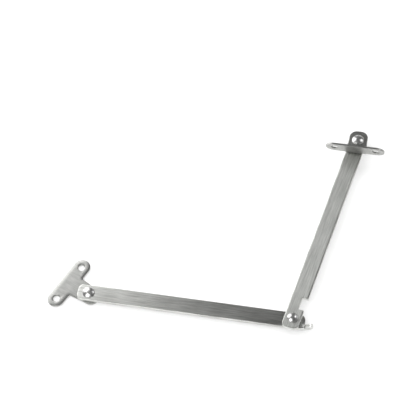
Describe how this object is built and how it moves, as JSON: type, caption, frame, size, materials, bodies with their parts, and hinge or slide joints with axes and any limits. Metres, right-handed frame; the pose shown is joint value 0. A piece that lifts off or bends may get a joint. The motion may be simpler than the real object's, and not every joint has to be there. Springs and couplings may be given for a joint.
{
  "type": "folding lid stay",
  "caption": "Folding lid stay: flat steel arms on a riveted elbow with a finger tab, a flat T bracket for the cabinet side and a bent T bracket for the lid.",
  "frame": {"origin": "on the back face of the cabinet bracket, midway between its two screw holes", "axes": "the stay lies flat: +X from the screw holes towards the cabinet pivot, +Y along the cabinet bracket's crossbar, +Z along the rivets from their hollow tails to their domed heads"},
  "size_m": [0.1749, 0.238, 0.023],
  "materials": {
    "bracket_steel": "satin pressed stainless sheet",
    "cabinet_arm_steel": "brushed along the arm",
    "lid_arm_steel": "brushed along the arm",
    "rivet_steel": "polished domed head, rolled hollow tail",
    "washer_steel": "plain stamped washer"
  },
  "bodies": {
    "cabinet_side": {"cabinet_bracket": "bracket_steel", "cabinet_washer": "washer_steel", "cabinet_rivet": "rivet_steel"},
    "cabinet_link": {"cabinet_arm": "cabinet_arm_steel", "elbow_washer": "washer_steel", "elbow_rivet": "rivet_steel"},
    "lid_link": {"lid_arm": "lid_arm_steel", "lid_washer": "washer_steel", "lid_rivet": "rivet_steel"},
    "lid_side": {"lid_bracket": "bracket_steel"}
  },
  "joints": [
    {"name": "cabinet_pivot", "type": "hinge", "parent": "cabinet_side", "child": "cabinet_link", "pos_m": [0.018, 0, 0.002], "axis": [0, 0, 1], "continuous": true},
    {"name": "elbow_pivot", "type": "hinge", "parent": "cabinet_link", "child": "lid_link", "pos_m": [0.15281, 0.05862, 0.0049], "axis": [0, 0, 1], "range_deg": [-84, 93]},
    {"name": "lid_pivot", "type": "hinge", "parent": "lid_link", "child": "lid_side", "pos_m": [0.11139, 0.20798, 0.0079], "axis": [0, 0, 1], "continuous": true}
  ]
}
